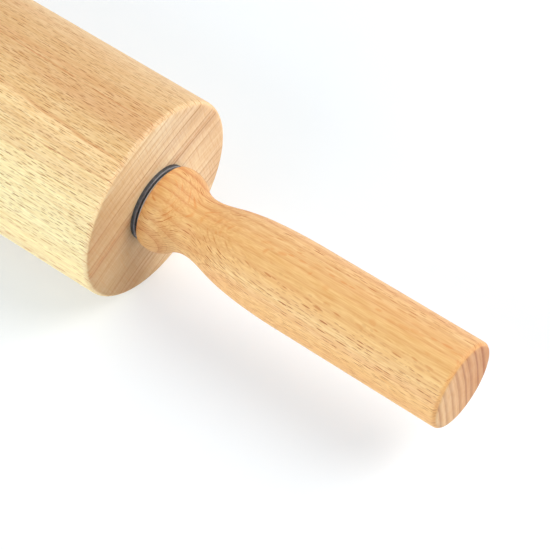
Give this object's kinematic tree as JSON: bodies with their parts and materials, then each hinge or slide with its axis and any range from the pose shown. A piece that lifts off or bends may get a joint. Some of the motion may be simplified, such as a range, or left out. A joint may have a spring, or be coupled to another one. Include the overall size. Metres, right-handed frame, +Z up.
{
  "type": "rolling pin",
  "caption": "Turned beech rolling pin with a wide barrel that spins on ball bearings between fixed handles.",
  "frame": {"origin": "on the table under the middle of the barrel", "axes": "+X along the pin towards one handle, +Z up, the axle 32.5 mm above the table"},
  "size_m": [0.467, 0.065, 0.065],
  "materials": {
    "beech_barrel": "fine-sanded bare beech",
    "beech_handle": "oiled turned beech",
    "bright_steel": "bright drawn bar",
    "zinc_plated_steel": "dull zinc plating",
    "bearing_steel": "ground",
    "ball_steel": "polished",
    "cage_steel": "pressed",
    "brass": "turned"
  },
  "bodies": {
    "handles_and_axle": {"axle": "bright_steel", "spacer_tube": "bright_steel", "handle_right": "beech_handle", "threaded_insert_right": "brass", "dust_washer_right": "zinc_plated_steel", "bearing_inner_ring_right": "bearing_steel", "handle_left": "beech_handle", "threaded_insert_left": "brass", "dust_washer_left": "zinc_plated_steel", "bearing_inner_ring_left": "bearing_steel"},
    "rolling_barrel": {"barrel": "beech_barrel", "bearing_cup_right": "zinc_plated_steel", "bearing_outer_ring_right": "bearing_steel", "bearing_shields_right": "zinc_plated_steel", "bearing_cup_left": "zinc_plated_steel", "bearing_outer_ring_left": "bearing_steel", "bearing_shields_left": "zinc_plated_steel"},
    "ball_train_right": {"bearing_balls_right": "ball_steel", "ball_cage_right": "cage_steel"},
    "ball_train_left": {"bearing_balls_left": "ball_steel", "ball_cage_left": "cage_steel"}
  },
  "joints": [
    {"name": "barrel_spin", "type": "hinge", "parent": "handles_and_axle", "child": "rolling_barrel", "pos_m": [0, 0, 0.0325], "axis": [1, 0, 0], "continuous": true},
    {"name": "ball_train_right_spin", "type": "hinge", "parent": "handles_and_axle", "child": "ball_train_right", "pos_m": [0, 0, 0.0325], "axis": [1, 0, 0], "continuous": true},
    {"name": "ball_train_left_spin", "type": "hinge", "parent": "handles_and_axle", "child": "ball_train_left", "pos_m": [0, 0, 0.0325], "axis": [1, 0, 0], "continuous": true}
  ],
  "couplings": [
    {"joint": "ball_train_right_spin", "follows": "barrel_spin", "ratio": 0.63227},
    {"joint": "ball_train_left_spin", "follows": "barrel_spin", "ratio": 0.63227}
  ]
}
